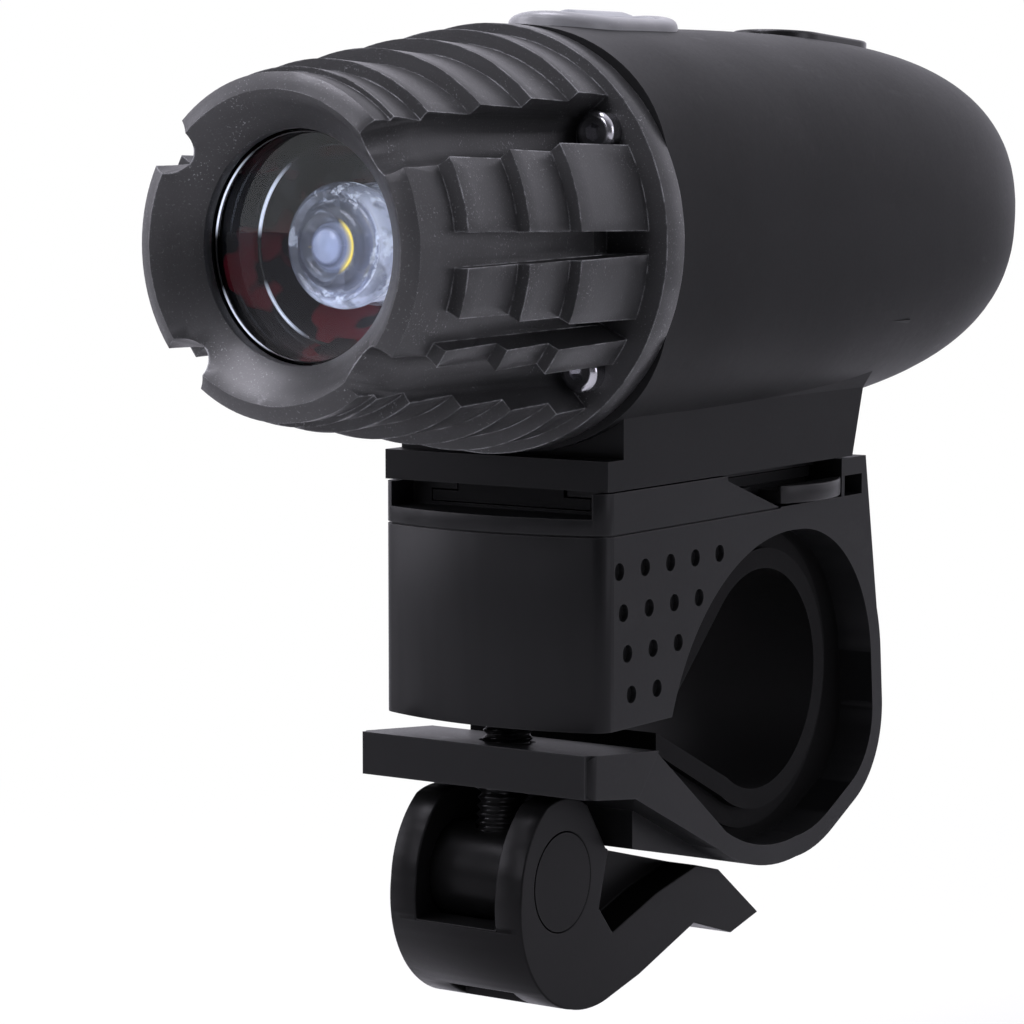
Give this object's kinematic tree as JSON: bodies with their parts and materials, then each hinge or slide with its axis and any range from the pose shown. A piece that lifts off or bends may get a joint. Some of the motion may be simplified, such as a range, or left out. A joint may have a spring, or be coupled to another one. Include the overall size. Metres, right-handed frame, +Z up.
{
  "type": "bike headlight",
  "caption": "Battery headlight with a ribbed metal head, rounded rear body and push button, on a slide-off rail over a rubber-lined cam-lever handlebar clamp.",
  "frame": {"origin": "centre of the handlebar seat in the clamp", "axes": "+Z up, handlebar along X, light shines along -Y"},
  "size_m": [0.04, 0.1248, 0.095],
  "materials": {
    "head_paint": "satin",
    "clear_lens": "gloss",
    "seal_rubber": "matt",
    "holder_plastic": "gloss",
    "emitter": "gloss",
    "metal_board": "satin",
    "bare_aluminium": "satin",
    "screw_chrome": "gloss",
    "body_plastic": "matt",
    "surround_plastic": "satin",
    "button_rubber": "satin",
    "socket_rubber": "matt",
    "switch_plastic": "gloss",
    "circuit_board": "gloss",
    "socket_steel": "satin",
    "cell_sleeve": "gloss",
    "cradle_plastic": "matt",
    "strip_nickel": "satin",
    "clamp_plastic": "satin",
    "tab_plastic": "satin",
    "liner_rubber": "matt",
    "plated_steel": "satin",
    "pin_plastic": "satin",
    "lever_plastic": "satin"
  },
  "bodies": {
    "clamp": {"clamp_bracket": "clamp_plastic", "rubber_liner": "liner_rubber", "clamp_nut": "plated_steel", "clamp_bolt": "plated_steel", "trunnion_pin": "pin_plastic"},
    "light": {"head_housing": "head_paint", "lens_seal": "seal_rubber", "lens_optic": "clear_lens", "lens_holder": "holder_plastic", "led_emitter": "emitter", "led_board": "metal_board", "heat_plate": "bare_aluminium", "head_screws": "screw_chrome", "body_seal": "seal_rubber", "rear_body": "body_plastic", "button_surround": "surround_plastic", "tactile_switch": "switch_plastic", "control_board": "circuit_board", "usb_socket": "socket_steel", "battery_cell": "cell_sleeve", "battery_cradle": "cradle_plastic", "battery_tabs": "strip_nickel"},
    "lever": {"cam_lever": "lever_plastic"},
    "button": {"power_button": "button_rubber"},
    "socket_flap": {"port_cover": "socket_rubber"},
    "tab_right": {"release_tab_right": "tab_plastic"},
    "tab_left": {"release_tab_left": "tab_plastic"}
  },
  "joints": [
    {"name": "light_slide", "type": "slide", "parent": "clamp", "child": "light", "axis": [0, -1, 0], "range_m": [0, 0.042]},
    {"name": "release_tab_right_press", "type": "slide", "parent": "clamp", "child": "tab_right", "axis": [-1, 0, 0], "range_m": [0, 0.0013], "stiffness_N_per_m": 1200, "springref_m": -0.0005},
    {"name": "release_tab_left_press", "type": "slide", "parent": "clamp", "child": "tab_left", "axis": [1, 0, 0], "range_m": [0, 0.0013], "stiffness_N_per_m": 1200, "springref_m": -0.0005},
    {"name": "lever_pivot", "type": "hinge", "parent": "clamp", "child": "lever", "pos_m": [0, -0.0309, -0.0158], "axis": [-1, 0, 0], "range_deg": [0, 100]},
    {"name": "button_press", "type": "slide", "parent": "light", "child": "button", "axis": [0, 0, -1], "range_m": [0, 0.0006], "stiffness_N_per_m": 1500, "springref_m": -0.0003},
    {"name": "socket_flap_hinge", "type": "hinge", "parent": "light", "child": "socket_flap", "pos_m": [0, 0.01684, 0.06507], "axis": [1, 0, 0], "range_deg": [0, 75]}
  ]
}
